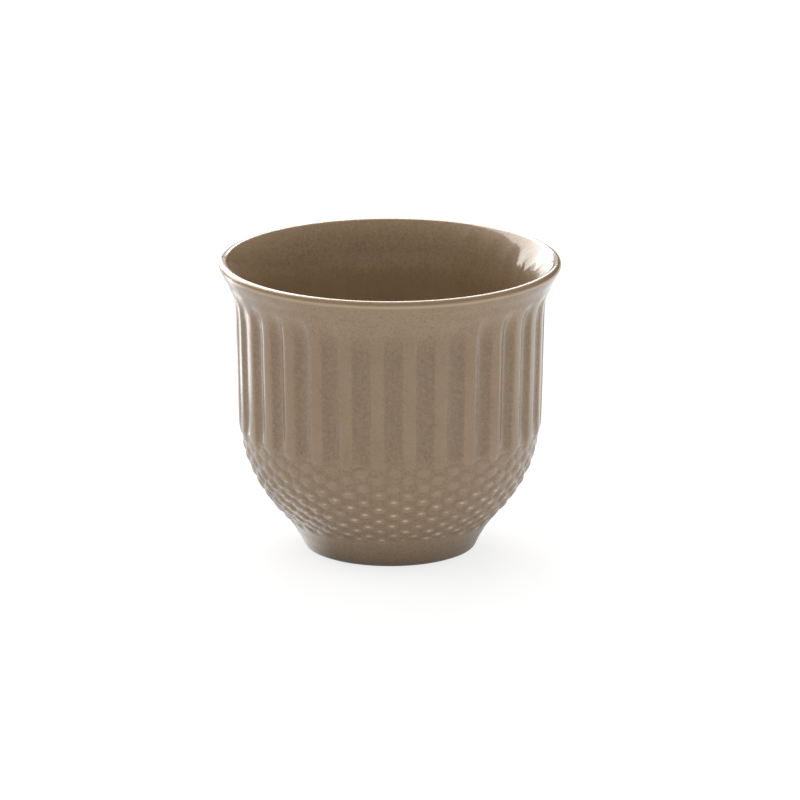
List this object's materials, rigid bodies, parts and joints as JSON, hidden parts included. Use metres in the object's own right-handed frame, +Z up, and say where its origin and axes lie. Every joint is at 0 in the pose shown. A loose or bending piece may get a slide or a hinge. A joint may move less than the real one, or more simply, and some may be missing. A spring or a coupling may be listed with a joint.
{
  "type": "arabic coffee cup",
  "caption": "Small handleless coffee cup with a flared lip, upright flutes, a band of beads round the bowl and a plain tapered foot.",
  "frame": {"origin": "on the cup's axis at the ground plane", "axes": "+Z up along the cup's axis, -Y towards the picture's viewer, +X to the viewer's right"},
  "size_m": [0.065, 0.065, 0.0563],
  "materials": {
    "clay": "bare fired stoneware, matt",
    "outer_glaze": "glossy taupe glaze, finely speckled, paler on the ridges",
    "inner_glaze": "glossy taupe glaze, finely speckled",
    "base_glaze": "glossy taupe glaze, finely speckled"
  },
  "bodies": {
    "root": {"clay_body": "clay", "outer_glaze": "outer_glaze", "inner_glaze": "inner_glaze", "base_glaze": "base_glaze"}
  },
  "joints": []
}
